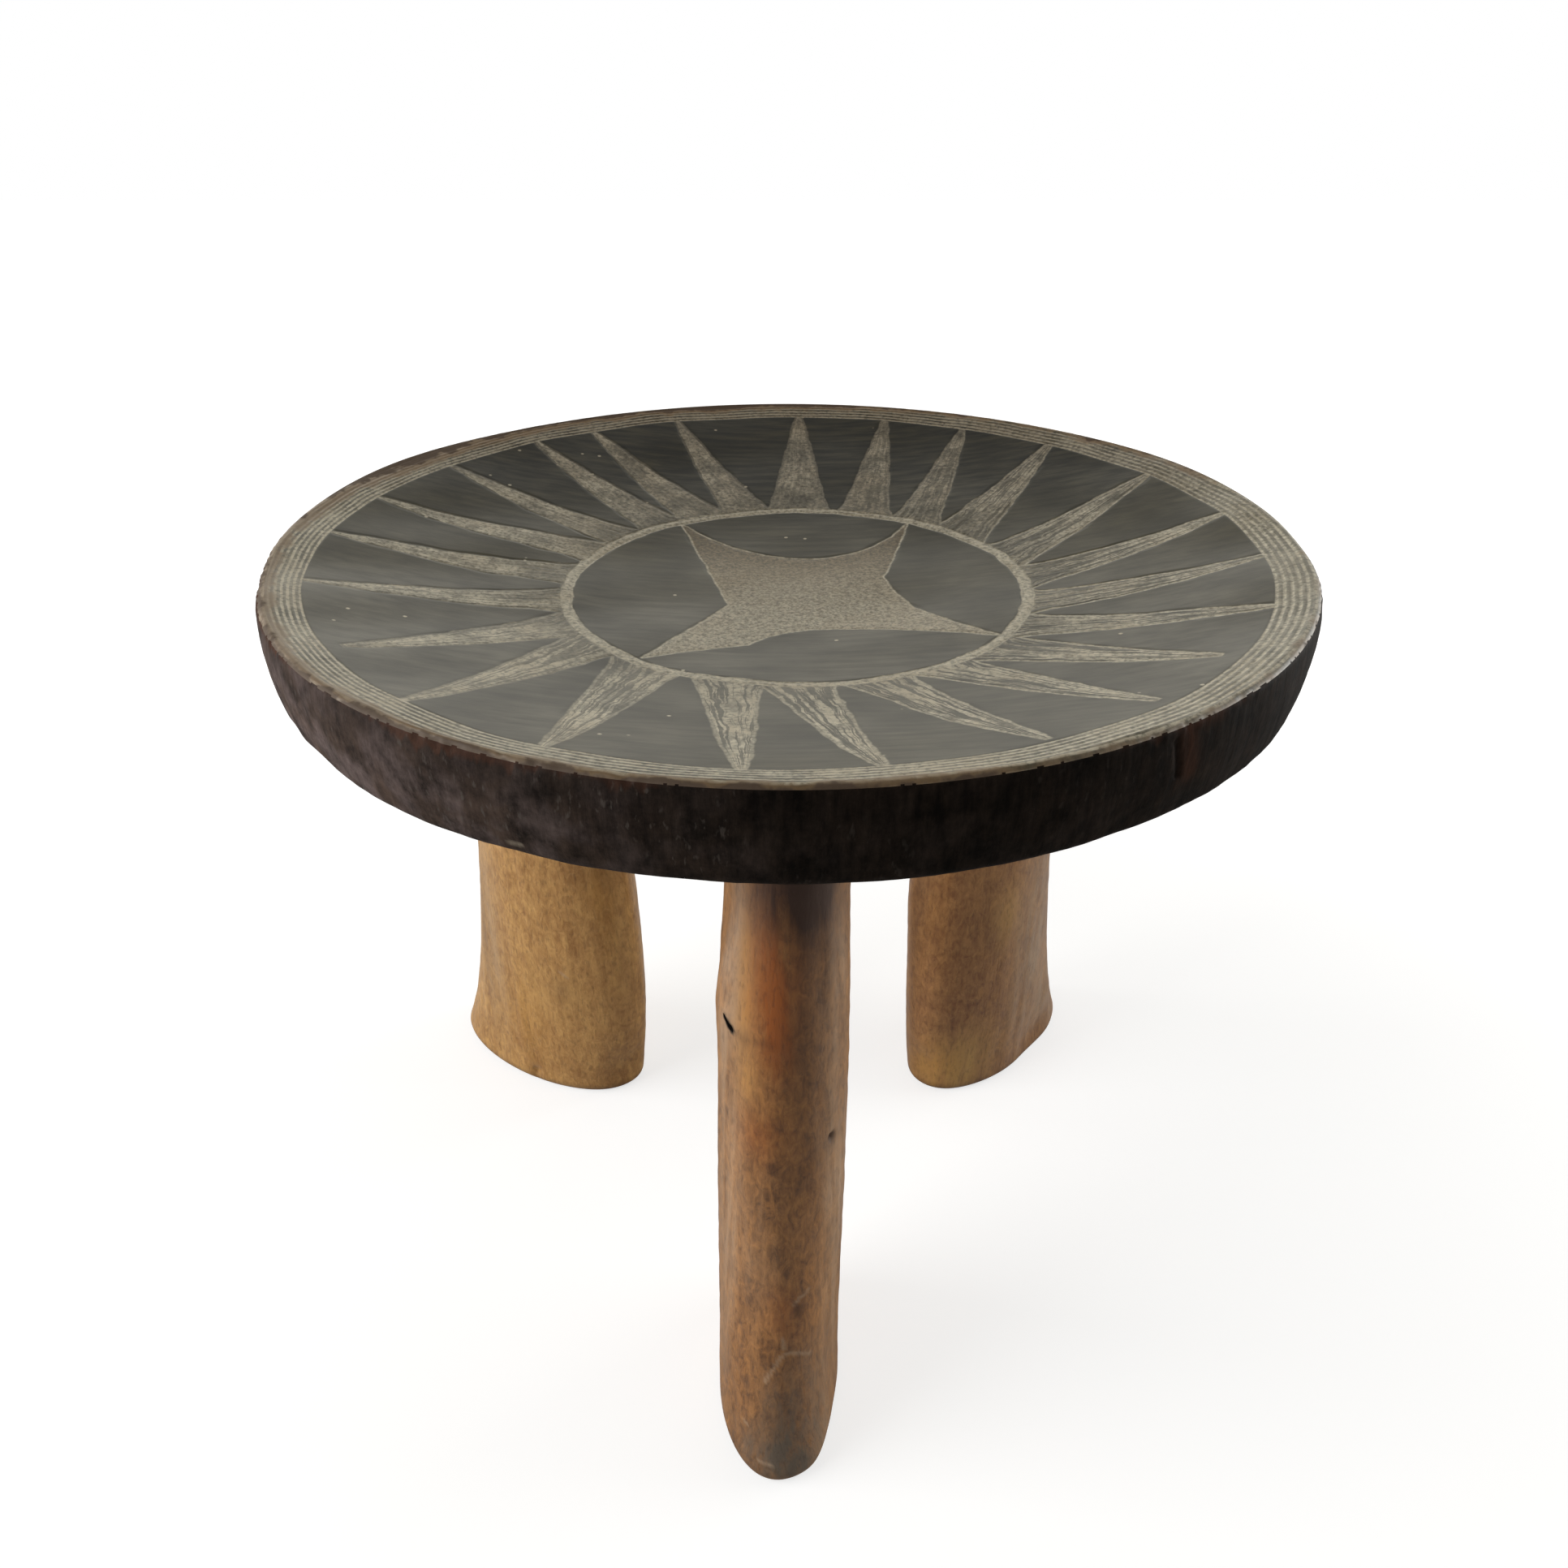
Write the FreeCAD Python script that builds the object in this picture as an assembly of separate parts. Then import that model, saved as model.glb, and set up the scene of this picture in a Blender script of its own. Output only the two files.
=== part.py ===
import FreeCAD, Part
import math
import os

from FreeCAD import Vector

# A low three-legged stool: a round dished seat with a heavy dark rim, on three oval legs
# whose feet flare outwards. Each leg ends in a round tenon that stands in a blind socket
# under the seat and is spread there by a hidden wedge.
# Millimetres. +Z is up, the origin is on the floor under the middle of the seat, and the
# front leg points along -Y.

# Seat: a bowl-shaped top over a bowl-shaped underside, joined by the rim
seat_diameter = 350.0
seat_height = 303.0
dish_depth = 26.0
seat_thickness = 32.0
rim_depth = 29.0
rim_undercut = 2.0
rim_bulge = 1.6
rim_top_round = 2.4
rim_bottom_round = 4.5

# Joint between leg and seat
tenon_diameter = 30.0
tenon_root = 24.0
socket_roof = 10.0
socket_clearance = 0.15
socket_end_gap = 0.6
wedge_width = 5.0
wedge_tip_width = 1.2
wedge_length = 15.0

# The common leg. Depth runs outwards from the seat's middle, and a flare is how far the
# outer edge stands beyond the neck's outer edge. Below the ankle the toe kicks out.
shoulder_land = 7.4
neck_depth = 54.0
neck_drop = 14.0
calf_height = 110.0
calf_flare = 14.0
calf_depth = 78.0
calf_width = 49.0
ankle_height = 31.0
ankle_flare = 28.0
ankle_depth = 92.0
ankle_width = 49.0
foot_flare = 39.0
sole_depth = 100.0
sole_width = 50.0
sole_round = 3.5

# The three were carved by hand and differ: bearing about the seat's middle in degrees from
# +X, turn about the tenon's own axis, distance of the neck inside the rim's lower edge, size
# beside the common leg, and how far the foot stands to one side of the neck
legs = {
    "front": {"bearing": -90.5, "twist": -1.0, "inset": 46.0, "heft": 0.92, "lean": -2.0},
    "left": {"bearing": 149.3, "twist": -1.0, "inset": 20.5, "heft": 1.09, "lean": 0.7},
    "right": {"bearing": 36.0, "twist": 9.0, "inset": 33.0, "heft": 1.05, "lean": -1.2},
}

seat_radius = seat_diameter / 2
rim_bottom_radius = seat_radius - rim_undercut
dish_bottom = seat_height - dish_depth
seat_bottom = dish_bottom - seat_thickness
rim_bottom = seat_height - rim_depth
tenon_radius = tenon_diameter / 2
neck_width = tenon_diameter + 2 * shoulder_land
level_tolerance = 0.01


def bowl_height(radius, edge_radius, edge_height, bottom_height):
    """Height at a radius of a round bowl that is level at its middle."""
    sag = edge_height - bottom_height
    sphere_radius = (edge_radius**2 + sag**2) / (2 * sag)
    return bottom_height + sphere_radius - math.sqrt(sphere_radius**2 - radius**2)


def dish_height(radius):
    return bowl_height(radius, seat_radius, seat_height, dish_bottom)


def underside_height(radius):
    return bowl_height(radius, rim_bottom_radius, rim_bottom, seat_bottom)


def bowl_arc(height_at, edge_radius):
    """Half of a bowl's outline, from its middle to its edge, in the XZ plane."""
    points = [Vector(radius, 0, height_at(radius)) for radius in (0, edge_radius / 2, edge_radius)]
    return Part.Arc(*points).toShape()


def round_edge(solid, height, radius):
    """Rounds the level edges of a solid that lie at one height."""
    edges = [
        edge
        for edge in solid.Edges
        if abs(edge.BoundBox.ZMin - height) < level_tolerance
        and abs(edge.BoundBox.ZMax - height) < level_tolerance
    ]
    return solid.makeFillet(radius, edges)


def make_seat_blank():
    """The seat before its sockets are cut: a dished top, a bulging rim, a bowed underside."""
    dish = bowl_arc(dish_height, seat_radius)
    underside = bowl_arc(underside_height, rim_bottom_radius)
    rim_top_point = Vector(seat_radius, 0, seat_height)
    rim_bottom_point = Vector(rim_bottom_radius, 0, rim_bottom)
    rim_middle = (rim_top_point + rim_bottom_point) / 2 + Vector(rim_bulge, 0, 0)
    rim = Part.Arc(rim_top_point, rim_middle, rim_bottom_point).toShape()
    axis = Part.makeLine(Vector(0, 0, seat_bottom), Vector(0, 0, dish_bottom))
    profile = Part.Face(Part.Wire(Part.__sortEdges__([dish, rim, underside, axis])))
    blank = profile.revolve(Vector(0, 0, 0), Vector(0, 0, 1), 360)
    blank = round_edge(blank, seat_height, rim_top_round)
    return round_edge(blank, rim_bottom, rim_bottom_round)


def leg_section(height, outer, side, depth, width):
    """An oval across the leg, inwards from its outer edge and moved to one side."""
    centre = Vector(outer - depth / 2, side, height)
    outer_point = Vector(outer, side, height)
    side_point = centre + Vector(0, width / 2, 0)
    oval = Part.Ellipse(outer_point, side_point, centre)
    return Part.Wire(oval.toShape())


class Leg:
    """One leg with its tenon, wedge and socket. Each is shaped along +X and then turned."""

    def __init__(self, bearing, twist, inset, heft, lean):
        self.bearing = bearing
        self.twist = twist
        self.heft = heft
        self.lean = lean
        self.neck_outer = rim_bottom_radius - inset
        self.tenon_place = self.neck_outer - neck_depth * heft / 2
        self.shoulder = underside_height(self.tenon_place)
        self.socket_top = dish_height(self.tenon_place - tenon_radius) - socket_roof
        self.tenon_top = self.socket_top - socket_end_gap
        self.tenon_foot = self.shoulder - tenon_root

    def section(self, height, flare, depth, width):
        outer = self.neck_outer + flare * self.heft
        side = self.lean * (1 - height / self.shoulder)
        return leg_section(height, outer, side, depth * self.heft, width * self.heft)

    def carved_blank(self):
        """The carved leg, running up into the seat's underside."""
        sections = [
            self.section(0, foot_flare, sole_depth, sole_width),
            self.section(ankle_height, ankle_flare, ankle_depth, ankle_width),
            self.section(calf_height, calf_flare, calf_depth, calf_width),
            self.section(self.shoulder - neck_drop, 0, neck_depth, neck_width),
            self.section(self.shoulder + neck_drop, 0, neck_depth, neck_width),
        ]
        return self.turned(round_edge(Part.makeLoft(sections, True, False), 0, sole_round))

    def tenon(self):
        foot = Vector(self.tenon_place, 0, self.tenon_foot)
        return self.turned(Part.makeCylinder(tenon_radius, self.tenon_top - self.tenon_foot, foot))

    def socket(self):
        """What the tenon's blind hole takes out of the seat."""
        foot = Vector(self.tenon_place, 0, self.tenon_foot)
        radius = tenon_radius + socket_clearance
        return self.turned(Part.makeCylinder(radius, self.socket_top - self.tenon_foot, foot))

    def wedge(self):
        """The hidden wedge, thin end down, level with the tenon's top."""
        tip = self.tenon_top - wedge_length
        outline = [
            Vector(self.tenon_place - wedge_width / 2, -tenon_radius, self.tenon_top),
            Vector(self.tenon_place + wedge_width / 2, -tenon_radius, self.tenon_top),
            Vector(self.tenon_place + wedge_tip_width / 2, -tenon_radius, tip),
            Vector(self.tenon_place - wedge_tip_width / 2, -tenon_radius, tip),
        ]
        face = Part.Face(Part.makePolygon(outline + outline[:1]))
        return self.turned(face.extrude(Vector(0, tenon_diameter, 0))).common(self.tenon())

    def solid(self, seat_blank):
        """The leg cut to the seat's underside, with its tenon slit for the wedge."""
        carved = self.carved_blank().cut(seat_blank)
        return carved.fuse(self.tenon()).removeSplitter().cut(self.wedge())

    def turned(self, shape):
        """The same shape twisted about the tenon, then turned to the leg's bearing."""
        upright = Vector(0, 0, 1)
        shape.rotate(Vector(self.tenon_place, 0, 0), upright, self.twist)
        shape.rotate(Vector(0, 0, 0), upright, self.bearing)
        return shape


def main():
    os.makedirs("parts", exist_ok=True)
    seat_blank = make_seat_blank()
    seat = seat_blank
    nodes = {}
    for name, sizes in legs.items():
        leg = Leg(**sizes)
        nodes[f"{name}_leg"] = leg.solid(seat_blank)
        nodes[f"{name}_wedge"] = leg.wedge()
        seat = seat.cut(leg.socket())
    nodes["seat"] = seat
    for name, shape in nodes.items():
        shape.exportStep(f"parts/{name}.step")
        print(f"{name}: {len(shape.Solids)} solid, {shape.Volume / 1000:.1f} cm3, valid {shape.isValid()}")


main()
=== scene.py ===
# %% [markdown]
# A low three-legged stool, carved by hand: a dished round seat, blackened and then scratched
# with a sunburst round a four-pointed star, on three oval legs whose feet flare outwards.
# The solid model gives every size and place, so it is loaded first.
# What follows gives it the wood, the carving and the wear that the solids leave out.

import math
from functools import partial

import bpy
import numpy as np
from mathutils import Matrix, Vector
from mathutils.bvhtree import BVHTree


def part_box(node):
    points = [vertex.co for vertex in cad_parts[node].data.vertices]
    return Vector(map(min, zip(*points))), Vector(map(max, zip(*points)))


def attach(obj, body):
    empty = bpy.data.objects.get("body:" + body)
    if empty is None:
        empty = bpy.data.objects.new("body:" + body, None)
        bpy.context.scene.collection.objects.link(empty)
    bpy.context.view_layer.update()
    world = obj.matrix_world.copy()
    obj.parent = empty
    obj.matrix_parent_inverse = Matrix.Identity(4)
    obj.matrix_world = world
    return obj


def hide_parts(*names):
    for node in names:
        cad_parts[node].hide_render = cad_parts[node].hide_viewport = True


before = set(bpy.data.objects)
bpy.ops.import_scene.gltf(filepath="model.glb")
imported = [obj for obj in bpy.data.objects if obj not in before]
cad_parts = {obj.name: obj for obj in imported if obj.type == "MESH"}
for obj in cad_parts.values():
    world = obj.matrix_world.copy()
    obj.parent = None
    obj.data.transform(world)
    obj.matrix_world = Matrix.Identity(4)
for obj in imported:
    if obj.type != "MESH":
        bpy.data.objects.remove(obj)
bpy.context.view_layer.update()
scene = bpy.context.scene
scene.view_settings.view_transform = "Standard"
MM = 0.001
print("solids:", sorted(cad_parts))

# %% [markdown]
# The camera stands in front of the stool and looks down on it. The seat's outline is an
# ellipse in the picture, and how flat it is gives the angle; how much smaller the feet look
# than the seat gives the distance. A camera matched this way lets each mark be given as a point of the
# picture.

# %% Camera
camera_place = Vector((-1.3, -420.0, 449.0))
looking_down = math.radians(30.8)
picture_pixels = 1932.0
focal_pixels = 1541.0

lens = bpy.data.cameras.new("photo_camera")
lens.sensor_width = 36.0
lens.lens = lens.sensor_width * focal_pixels / picture_pixels
lens.clip_start = 0.01
camera = bpy.data.objects.new("photo_camera", lens)
camera.location = camera_place * MM
camera.rotation_euler = (math.pi / 2 - looking_down, 0.0, 0.0)
scene.collection.objects.link(camera)
scene.camera = camera
print(f"camera {camera_place.length:.0f} mm from the origin, lens {lens.lens:.1f} mm")

# %% [markdown]
# Shader networks are built in code, and one small function is enough for all of them: it adds
# a node, sets what is fixed, and links what comes from another node. Inputs are listed in the
# order of the node's sockets, so a MapRange node, the one used most, takes a value, the range
# it comes from and the range it goes to, which is 0 to 1 if left out. Colours are written as
# the hex values a painter would pick on a screen and turned to the linear light Blender needs.

# %% Helpers for shaders
soft_ends = {"interpolation_type": "SMOOTHSTEP"}
as_colour = {"data_type": "RGBA"}


def node(tree, kind, inputs=(), output=None, **settings):
    """Adds one node and gives back the named output, or the first one that is in use.

    Inputs are in the order of the sockets, or a dictionary by name or number. Each is a number,
    a colour, a vector or another node's output.
    """
    made = tree.nodes.new("ShaderNode" + kind)
    for setting, value in settings.items():
        setattr(made, setting, value)
    for socket, value in inputs.items() if isinstance(inputs, dict) else enumerate(inputs):
        if isinstance(value, bpy.types.NodeSocket):
            tree.links.new(value, made.inputs[socket])
        else:
            made.inputs[socket].default_value = value
    if output:
        return made.outputs[output]
    return next((socket for socket in made.outputs if socket.enabled), None)


def colour(hex_value):
    """A linear colour from sRGB hex digits."""
    parts = [int(hex_value[place : place + 2], 16) / 255 for place in (0, 2, 4)]
    return [part / 12.92 if part <= 0.04045 else ((part + 0.055) / 1.055) ** 2.4 for part in parts] + [1.0]


print("white is", colour("ffffff"), "and mid grey is", [round(part, 3) for part in colour("808080")])

# %% [markdown]
# The stool was photographed against white, with soft light from the left and a bright surround
# low down behind it. That surround matters: the seat is a dark dish seen at a low angle, so
# most of its grey is the backdrop mirrored in it. The world is therefore bright near the
# horizon and dimmer overhead and in front. The camera itself sees plain white.

# %% Surround
world = bpy.data.worlds.new("white_studio")
world.use_nodes = True
scene.world = world
world.node_tree.nodes.clear()
add = partial(node, world.node_tree)
axes = add("SeparateXYZ", [add("TexCoord", output="Generated")]).node.outputs
overhead = add("MapRange", [axes["Z"], 0.3, 0.65, 1.0, 0.1], **soft_ends)
towards_front = add("MapRange", [axes["Y"], -0.9, 0.1, 0.16, 1.42], **soft_ends)
strength = add("Math", [overhead, towards_front], operation="MULTIPLY")
surround = add("Background", [colour("fffdf3"), strength])
backdrop = add("Background", [colour("ffffff"), 1.0])
seen = add("LightPath", output="Is Camera Ray")
add("OutputWorld", [add("MixShader", [seen, surround, backdrop])])
print("surround: bright low down and behind")

# %% [markdown]
# The floor is matt white paper. The light on it alone would look grey beside the white
# backdrop, so for the camera it also glows, more so further out: it runs into the backdrop
# without an edge and still keeps the stool's shadow. Two large panels, the brighter one on
# the left, give soft light without hard highlights.

# %% Floor and soft lights
floor_size = 8.0
floor_drop = 0.05 * MM
half = floor_size / 2
floor_mesh = bpy.data.meshes.new("floor")
floor_corners = [(x, y, -floor_drop) for x, y in ((-half, -half), (half, -half), (half, half), (-half, half))]
floor_mesh.from_pydata(floor_corners, [], [(0, 1, 2, 3)])
floor = bpy.data.objects.new("floor", floor_mesh)
scene.collection.objects.link(floor)


def blank_material(name):
    """An empty material, and the function that adds nodes to it."""
    material = bpy.data.materials.new(name)
    material.use_nodes = True
    material.node_tree.nodes.clear()
    return material, partial(node, material.node_tree)


paper, add = blank_material("white_paper")
matt = add("BsdfDiffuse", [colour("c0c0c0")])
seen = add("LightPath", output="Is Camera Ray")
away = add("VectorMath", [add("TexCoord", output="Object")], operation="LENGTH")
lift = add("MapRange", [away, 0.2, 0.9, 0.68, 0.9], **soft_ends)
lift = add("Math", [seen, lift], operation="MULTIPLY")
glow = add("Emission", [colour("ffffff"), lift])
add("OutputMaterial", [add("AddShader", [matt, glow])])
floor_mesh.materials.append(paper)

aim = Vector((0.0, 0.0, 0.2))
soft_lights = (("soft_key", (-1.55, -0.4, 0.75), 1.4, 25.0), ("soft_fill", (1.5, 0.4, 0.3), 1.2, 16.0))
for name, spot, size, power in soft_lights:
    panel = bpy.data.lights.new(name, "AREA")
    panel.size = size
    panel.energy = power
    light = bpy.data.objects.new(name, panel)
    light.location = spot
    light.rotation_euler = (aim - light.location).to_track_quat("-Z", "Y").to_euler()
    scene.collection.objects.link(light)
print(f"floor {floor_size} m, {len(soft_lights)} soft lights")

# %% [markdown]
# The seat's outline is taken from the solid itself: rays are cast at it and the distances
# read off. Two heights give each bowl, and rays sent outwards from inside the rim give its
# cross-section. Nothing is measured twice, so if the solid changes the seat follows it.

# %% Feel out the seat
def surface_of(name):
    """One solid's surface, ready for rays."""
    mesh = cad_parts[name].data
    corners = [corner.co for corner in mesh.vertices]
    return BVHTree.FromPolygons(corners, [face.vertices[:] for face in mesh.polygons])


def reach(surface, start, direction):
    """Millimetres from a point to a surface."""
    return surface.ray_cast(Vector(start) * MM, Vector(direction).normalized())[3] / MM


class Bowl:
    """A round bowl, level in the middle, known from its heights at the middle and further out."""

    def __init__(self, middle, radius, height):
        rise = height - middle
        self.middle = middle
        self.ball = (radius**2 + rise**2) / (2 * rise)

    def height(self, radius):
        return self.middle + self.ball - np.sqrt(self.ball**2 - np.square(radius))


seat_solid = surface_of("seat")
low_corner, high_corner = (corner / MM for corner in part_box("seat"))
seat_radius = (high_corner.x - low_corner.x) / 2
above, below, far_out = 400.0, 100.0, 150.0
off_seam = 0.3
top_heights = [above - reach(seat_solid, (off_seam, y, above), (0, 0, -1)) for y in (0.0, far_out)]
low_heights = [below + reach(seat_solid, (off_seam, y, below), (0, 0, 1)) for y in (0.0, far_out)]
dish = Bowl(top_heights[0], far_out, top_heights[1])
belly = Bowl(low_heights[0], far_out, low_heights[1])
print(f"seat radius {seat_radius:.1f} mm, dish ball {dish.ball:.0f} mm, belly ball {belly.ball:.0f} mm")

# %% Cross-section of the rim
core_radius = 170.0
rim_core = np.array((core_radius, float(dish.height(core_radius) + belly.height(core_radius)) / 2))
upper_sweep = np.arange(90, 40, -1.3)
outer_sweep = np.arange(40, -50, -2.6)
lower_sweep = np.arange(-50, -91, -2.0)
sweep = np.radians(np.concatenate((upper_sweep, outer_sweep, lower_sweep)))
rim_line = []
for angle in sweep:
    outwards = (math.cos(angle), 0.0, math.sin(angle))
    distance = reach(seat_solid, (rim_core[0], 0.0, rim_core[1]), outwards)
    rim_line.append((rim_core[0] + distance * outwards[0], rim_core[1] + distance * outwards[2]))
rim_line = np.array(rim_line)
rim_steps = np.hypot(*np.diff(rim_line, axis=0).T)
rim_run = np.concatenate(((0.0,), np.cumsum(rim_steps)))
corner_index = int(np.argmax(rim_line.sum(axis=1)))
rim_run -= rim_run[corner_index]
rim_corner = rim_line[corner_index].round(1)
print(f"rim: {len(rim_line)} points, top corner at {rim_corner}, {rim_run[-1]:.0f} mm round")

# %% [markdown]
# The engraving was scratched freehand, so it isn't regular: 23 thorn-shaped rays, four of them
# short, stand on a ring that sits a little off the seat's middle, each leaning its own way, and
# the star inside the ring is lopsided. Each ray is set down here by its bearing, lean and
# breadth at the ring, in degrees, as read off the picture. From these come distances: how deep
# a point lies inside a ray or inside the star. A line is then wherever such a distance is near 0.

# %% The engraving's plan
ring_centre = (3.2, -2.0)
ring_inside, ring_outside = 79.4, 82.6
band_inside, band_pitch, band_count = 162.0, 2.25, 6
rays = (
    (89, -1, 14.5), (70, 4, 12), (54, 7, 11), (39, 7, 13.5), (19, 8, 13.5), (4, 5, 11),
    (-13, 7, 11.5), (-28, 6, 11), (-42, 5, 13.5), (-57, 6, 11.5), (-73, 7, 12), (-90, 8, 11.5),
    (-105, 11, 11.5), (-125, 13, 14), (-142, 13, 12), (-155, 9, 13), (-170, 4, 11), (173, 5, 11),
    (156, 8, 11), (144, 4, 10.5), (130, 2, 11.5), (117, 5, 12), (104, 4, 11),
)
short_rays = {-155: 156.0, -73: 159.0, -57: 156.5, -42: 155.0}
ray_taper = 0.8
ray_tip = 0.9
base_flare, flare_reach = 2.2, 3.0
deepest = 40.0
behind_base = -0.3
widest_across = 1.2


def ray_fields(x, y):
    """Depth inside the nearest ray in mm, place across it from -1 to 1, place along it, its number."""
    from_ring = np.hypot(x - ring_centre[0], y - ring_centre[1])
    depth = np.full(x.shape, -deepest)
    across, along, number = np.zeros(x.shape), np.zeros(x.shape), np.zeros(x.shape)
    for count, (base, lean, breadth) in enumerate(rays):
        base_turn, tip_turn = math.radians(base), math.radians(base + lean)
        base_x = ring_centre[0] + ring_outside * math.cos(base_turn)
        base_y = ring_centre[1] + ring_outside * math.sin(base_turn)
        tip_radius = short_rays.get(base, band_inside)
        run_x = tip_radius * math.cos(tip_turn) - base_x
        run_y = tip_radius * math.sin(tip_turn) - base_y
        length = math.hypot(run_x, run_y)
        share = ((x - base_x) * run_x + (y - base_y) * run_y) / length**2
        sideways = ((y - base_y) * run_x - (x - base_x) * run_y) / length
        left = 1 - np.clip(share, 0, 1)
        half_width = math.radians(breadth / 2) * ring_outside * left**ray_taper + ray_tip
        half_width += base_flare * np.exp(-np.maximum(from_ring - ring_outside, 0) / flare_reach)
        above_ring = np.where(share > behind_base, from_ring - ring_outside, -deepest)
        inside = np.minimum(half_width - np.abs(sideways), np.minimum((1 - share) * length, above_ring))
        nearer = inside > depth
        depth = np.where(nearer, inside, depth)
        across = np.where(nearer, np.clip(sideways / half_width, -widest_across, widest_across), across)
        along = np.where(nearer, share, along)
        number = np.where(nearer, count, number)
    return depth, across, along, number


print(f"{len(rays)} rays between the ring at {ring_outside} mm and the band at {band_inside} mm")

# %% The star's outline
star_arcs = (
    ((-41.5, 62), (14.5, 6.5), (48, 63)),
    ((48, 63), (42, 39), (35.5, 15.5)),
    ((35.5, 15.5), (42, -22), (71, -47.5)),
    ((71, -47.5), (36, -30), (10, -30)),
    ((10, -30), (-4, -31), (-13, -45)),
    ((-13, -45), (-30, -52), (-46, -61.5)),
    ((-46, -61.5), (-34, -36), (-20.5, -9)),
    ((-20.5, -9), (-29, 22), (-41.5, 62)),
)
arc_steps = 10


def star_points():
    """The outline as points: each side is a shallow arc from one corner to the next."""
    points = []
    for start, bend, end in star_arcs:
        for share in np.arange(arc_steps) / arc_steps:
            start_part, bend_part, end_part = (1 - share) ** 2, 2 * share * (1 - share), share**2
            corners = zip(start, bend, end)
            points.append([a * start_part + b * bend_part + c * end_part for a, b, c in corners])
    return np.array(points)


def star_depth(x, y):
    """Depth inside the star in mm, negative outside."""
    points = star_points()
    nearest = np.full(x.shape, deepest)
    inside = np.zeros(x.shape, bool)
    for (ax, ay), (bx, by) in zip(points, np.roll(points, -1, axis=0)):
        run_x, run_y = bx - ax, by - ay
        share = np.clip(((x - ax) * run_x + (y - ay) * run_y) / (run_x**2 + run_y**2), 0, 1)
        nearest = np.minimum(nearest, np.hypot(x - ax - share * run_x, y - ay - share * run_y))
        crosses = (ay > y) != (by > y)
        inside ^= crosses & (x < ax + (y - ay) * run_x / (run_y if run_y else 1.0))
    return np.where(inside, nearest, -nearest)


print(f"star outline: {len(star_points())} points")

# %% [markdown]
# The seat's mesh is a set of rings, like ripples: fine where there are lines to cut, coarse
# below. A grid of rings suits it because both the band and the inner ring run along the rings,
# so their grooves come out crisp. The rings' middle drifts from the star's ring to the seat.
# Each zone gives the radii where it starts and stops, its step, and how many times fewer points
# its rings have than a full one.

# %% Rings of the seat
full_turn = 1200
top_zones = (
    (0.6, 8, 0.9, 16), (8, 16, 0.9, 8), (16, 34, 0.9, 4), (34, 76, 0.85, 2),
    (76, 86, 0.45, 1), (86, 159, 1.3, 1), (159, 170, 0.4, 1),
)
belly_zones = ((170, 150, 1.2, 1), (150, 60, 2.2, 2), (60, 12, 2.4, 4), (12, 2, 2.4, 8))
rings = []
for start, stop, step, coarser in top_zones:
    for radius in np.linspace(start, stop, round((stop - start) / step), endpoint=False):
        rings.append((radius, None, full_turn // coarser))
for radius, height in rim_line:
    rings.append((radius, height, full_turn))
for start, stop, step, coarser in belly_zones:
    for radius in np.linspace(start, stop, round((start - stop) / step), endpoint=False)[1:]:
        rings.append((radius, float(belly.height(radius)), full_turn // coarser))

drift_start, drift_run = 88, 65
points = [np.array(((*ring_centre, float(dish.height(math.hypot(*ring_centre)))),))]
for radius, height, count in rings:
    turn = np.arange(count) * 2 * math.pi / count
    settle = np.clip((radius - drift_start) / drift_run, 0, 1)
    drift = (1 - settle * settle * (3 - 2 * settle)) if height is None else 0.0
    x = radius * np.cos(turn) + drift * ring_centre[0]
    y = radius * np.sin(turn) + drift * ring_centre[1]
    z = dish.height(np.hypot(x, y)) if height is None else np.full(count, height)
    points.append(np.stack((x, y, z), axis=1))
points.append(np.array(((0.0, 0.0, belly.middle),)))
print(f"{len(rings)} rings, {sum(len(ring) for ring in points)} points")

# %% Faces between the rings
def faces_between(first, first_count, second, second_count):
    """Faces from one ring to the next, where the second may have half or twice as many points."""
    here = np.arange(min(first_count, second_count))
    after = (here + 1) % len(here)
    last = (2 * here + 2) % max(first_count, second_count)
    if first_count == second_count:
        corners = (first + here, second + here, second + after, first + after)
    elif second_count > first_count:
        corners = (first + here, second + 2 * here, second + 2 * here + 1, second + last, first + after)
    else:
        corners = (first + 2 * here, second + here, second + after, first + last, first + 2 * here + 1)
    return np.stack(corners, axis=1).tolist()


print("faces from a ring of 4 points to one of 8:", len(faces_between(0, 4, 4, 8)))

# %% The seat's mesh
def closed_mesh(name, ring_points):
    """A closed mesh from rings of points that start and end in a single point."""
    starts = np.cumsum([0] + [len(ring) for ring in ring_points])
    faces = []
    for place in range(1, len(ring_points) - 2):
        counts = len(ring_points[place]), len(ring_points[place + 1])
        faces += faces_between(starts[place], counts[0], starts[place + 1], counts[1])
    for tip, ring, flip in ((0, 1, False), (len(ring_points) - 1, len(ring_points) - 2, True)):
        here = np.arange(len(ring_points[ring]))
        after = (here + 1) % len(here)
        edges = (after, here) if flip else (here, after)
        tips = np.full(len(here), starts[tip])
        faces += np.stack((tips, starts[ring] + edges[0], starts[ring] + edges[1]), axis=1).tolist()
    mesh = bpy.data.meshes.new(name)
    mesh.from_pydata((np.concatenate(ring_points) * MM).tolist(), [], faces)
    mesh.update()
    return mesh


def add_to_scene(name, mesh):
    made = bpy.data.objects.new(name, mesh)
    scene.collection.objects.link(made)
    return made


seat = add_to_scene("carved_seat", closed_mesh("carved_seat", points))
print(f"seat: {len(seat.data.polygons)} faces before the sockets are cut")

# %% [markdown]
# Each leg's tenon stands in a blind hole under the seat, so three sockets are cut out of the
# mesh as they are in the solid. Their places and sizes are felt out from the solids too: the
# wedge marks the tenon's axis, and rays from just below the tenon's top find the socket's walls.

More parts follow.
